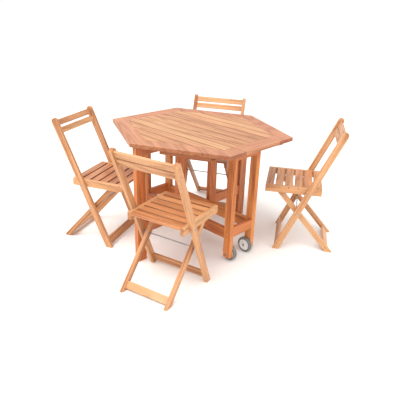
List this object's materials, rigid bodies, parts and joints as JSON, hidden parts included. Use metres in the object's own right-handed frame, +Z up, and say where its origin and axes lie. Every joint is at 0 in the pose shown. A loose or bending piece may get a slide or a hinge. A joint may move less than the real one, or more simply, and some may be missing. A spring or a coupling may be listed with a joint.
{
  "type": "patio dining set",
  "caption": "Hexagonal gateleg table on two wheels with drop leaves, and folding slatted chairs, all in oiled hardwood.",
  "frame": {"origin": "centre of the whole set's bounding box, on the floor", "axes": "+X along the planks of the table towards its wheeled end, +Y across the planks to the far leaf, +Z up"},
  "size_m": [1.4902, 1.5331, 0.796],
  "materials": {
    "plank_wood": "oiled, honey coloured planks",
    "border_wood": "oiled, slightly redder boards",
    "base_wood": "oiled, deeper orange",
    "chair_wood": "oiled",
    "steel": "zinc plated",
    "tyre": "dark grey rubber",
    "wheel_plastic": "light grey moulding"
  },
  "bodies": {
    "base": {"centre_planks": "plank_wood", "centre_end_boards": "border_wood", "end_posts": "base_wood", "side_rails": "base_wood", "end_rails": "base_wood", "wheel_axle_bolts": "steel", "top_hinge_plates": "steel", "base_hinge_plates": "steel"},
    "near_leaf": {"near_leaf_planks": "plank_wood", "near_leaf_border": "border_wood", "near_leaf_battens": "base_wood", "near_leaf_hinge_plates": "steel"},
    "near_gate": {"near_gate_stiles": "base_wood", "near_gate_rails": "base_wood", "near_gate_hinge_plates": "steel"},
    "near_wheel": {"near_wheel_tyre": "tyre", "near_wheel_hub": "wheel_plastic"},
    "far_leaf": {"far_leaf_planks": "plank_wood", "far_leaf_border": "border_wood", "far_leaf_battens": "base_wood", "far_leaf_hinge_plates": "steel"},
    "far_gate": {"far_gate_stiles": "base_wood", "far_gate_rails": "base_wood", "far_gate_hinge_plates": "steel"},
    "far_wheel": {"far_wheel_tyre": "tyre", "far_wheel_hub": "wheel_plastic"},
    "front_chair_back": {"front_chair_long_legs": "chair_wood", "front_chair_back_slats": "chair_wood", "front_chair_front_stretcher": "chair_wood", "front_chair_pivots": "steel"},
    "front_chair_legs": {"front_chair_short_legs": "chair_wood", "front_chair_leg_rails": "chair_wood"},
    "front_chair_seat": {"front_chair_seat_rails": "chair_wood", "front_chair_seat_slats": "chair_wood"},
    "left_chair_back": {"left_chair_long_legs": "chair_wood", "left_chair_back_slats": "chair_wood", "left_chair_front_stretcher": "chair_wood", "left_chair_pivots": "steel"},
    "left_chair_legs": {"left_chair_short_legs": "chair_wood", "left_chair_leg_rails": "chair_wood"},
    "left_chair_seat": {"left_chair_seat_rails": "chair_wood", "left_chair_seat_slats": "chair_wood"},
    "back_chair_back": {"back_chair_long_legs": "chair_wood", "back_chair_back_slats": "chair_wood", "back_chair_front_stretcher": "chair_wood", "back_chair_pivots": "steel"},
    "back_chair_legs": {"back_chair_short_legs": "chair_wood", "back_chair_leg_rails": "chair_wood"},
    "back_chair_seat": {"back_chair_seat_rails": "chair_wood", "back_chair_seat_slats": "chair_wood"},
    "right_chair_back": {"right_chair_long_legs": "chair_wood", "right_chair_back_slats": "chair_wood", "right_chair_front_stretcher": "chair_wood", "right_chair_pivots": "steel"},
    "right_chair_legs": {"right_chair_short_legs": "chair_wood", "right_chair_leg_rails": "chair_wood"},
    "right_chair_seat": {"right_chair_seat_rails": "chair_wood", "right_chair_seat_slats": "chair_wood"}
  },
  "joints": [
    {"name": "near_leaf_lift", "type": "hinge", "parent": "base", "child": "near_leaf", "pos_m": [-0.03147, -0.14573, 0.7145], "axis": [-1, 0, 0], "range_deg": [0, 4]},
    {"name": "near_gate_swing", "type": "hinge", "parent": "base", "child": "near_gate", "pos_m": [-0.03247, -0.11573, 0.2872], "axis": [0, 0, -1], "range_deg": [0, 20]},
    {"name": "near_wheel_turn", "type": "hinge", "parent": "base", "child": "near_wheel", "pos_m": [0.34153, -0.05573, 0.05], "axis": [0, 1, 0], "continuous": true},
    {"name": "far_leaf_lift", "type": "hinge", "parent": "base", "child": "far_leaf", "pos_m": [-0.03147, 0.15427, 0.7145], "axis": [1, 0, 0], "range_deg": [0, 4]},
    {"name": "far_gate_swing", "type": "hinge", "parent": "base", "child": "far_gate", "pos_m": [-0.03047, 0.12427, 0.2872], "axis": [0, 0, -1], "range_deg": [0, 45]},
    {"name": "far_wheel_turn", "type": "hinge", "parent": "base", "child": "far_wheel", "pos_m": [0.34153, 0.06427, 0.05], "axis": [0, 1, 0], "continuous": true},
    {"name": "front_chair_draw_out", "type": "slide", "parent": "base", "child": "front_chair_back", "axis": [0.2334, -0.9724, 0], "range_m": [0, 0.35]},
    {"name": "front_chair_leg_fold", "type": "hinge", "parent": "front_chair_back", "child": "front_chair_legs", "pos_m": [0.25471, -0.48556, 0.256], "axis": [0.9724, 0.2334, 0], "range_deg": [0, 60]},
    {"name": "front_chair_seat_fold", "type": "hinge", "parent": "front_chair_back", "child": "front_chair_seat", "pos_m": [0.2683, -0.54216, 0.396], "axis": [0.9724, 0.2334, 0], "range_deg": [0, 102]},
    {"name": "left_chair_draw_out", "type": "slide", "parent": "base", "child": "left_chair_back", "axis": [-0.9056, -0.4242, 0], "range_m": [0, 0.35]},
    {"name": "left_chair_leg_fold", "type": "hinge", "parent": "left_chair_back", "child": "left_chair_legs", "pos_m": [-0.44869, -0.39793, 0.256], "axis": [0.4242, -0.9056, 0], "range_deg": [0, 60]},
    {"name": "left_chair_seat_fold", "type": "hinge", "parent": "left_chair_back", "child": "left_chair_seat", "pos_m": [-0.50141, -0.42263, 0.396], "axis": [0.4242, -0.9056, 0], "range_deg": [0, 102]},
    {"name": "back_chair_draw_out", "type": "slide", "parent": "base", "child": "back_chair_back", "axis": [-0.471, 0.8821, 0], "range_m": [0, 0.35]},
    {"name": "back_chair_leg_fold", "type": "hinge", "parent": "back_chair_back", "child": "back_chair_legs", "pos_m": [-0.32788, 0.44689, 0.256], "axis": [-0.8821, -0.471, 0], "range_deg": [0, 60]},
    {"name": "back_chair_seat_fold", "type": "hinge", "parent": "back_chair_back", "child": "back_chair_seat", "pos_m": [-0.3553, 0.49825, 0.396], "axis": [-0.8821, -0.471, 0], "range_deg": [0, 102]},
    {"name": "right_chair_draw_out", "type": "slide", "parent": "base", "child": "right_chair_back", "axis": [0.8434, 0.5373, 0], "range_m": [0, 0.35]},
    {"name": "right_chair_leg_fold", "type": "hinge", "parent": "right_chair_back", "child": "right_chair_legs", "pos_m": [0.44109, 0.47439, 0.256], "axis": [-0.5373, 0.8434, 0], "range_deg": [0, 60]},
    {"name": "right_chair_seat_fold", "type": "hinge", "parent": "right_chair_back", "child": "right_chair_seat", "pos_m": [0.49019, 0.50567, 0.396], "axis": [-0.5373, 0.8434, 0], "range_deg": [0, 102]}
  ],
  "couplings": [
    {"joint": "front_chair_seat_fold", "follows": "front_chair_leg_fold", "ratio": 1.7},
    {"joint": "left_chair_seat_fold", "follows": "left_chair_leg_fold", "ratio": 1.7},
    {"joint": "back_chair_seat_fold", "follows": "back_chair_leg_fold", "ratio": 1.7},
    {"joint": "right_chair_seat_fold", "follows": "right_chair_leg_fold", "ratio": 1.7}
  ]
}
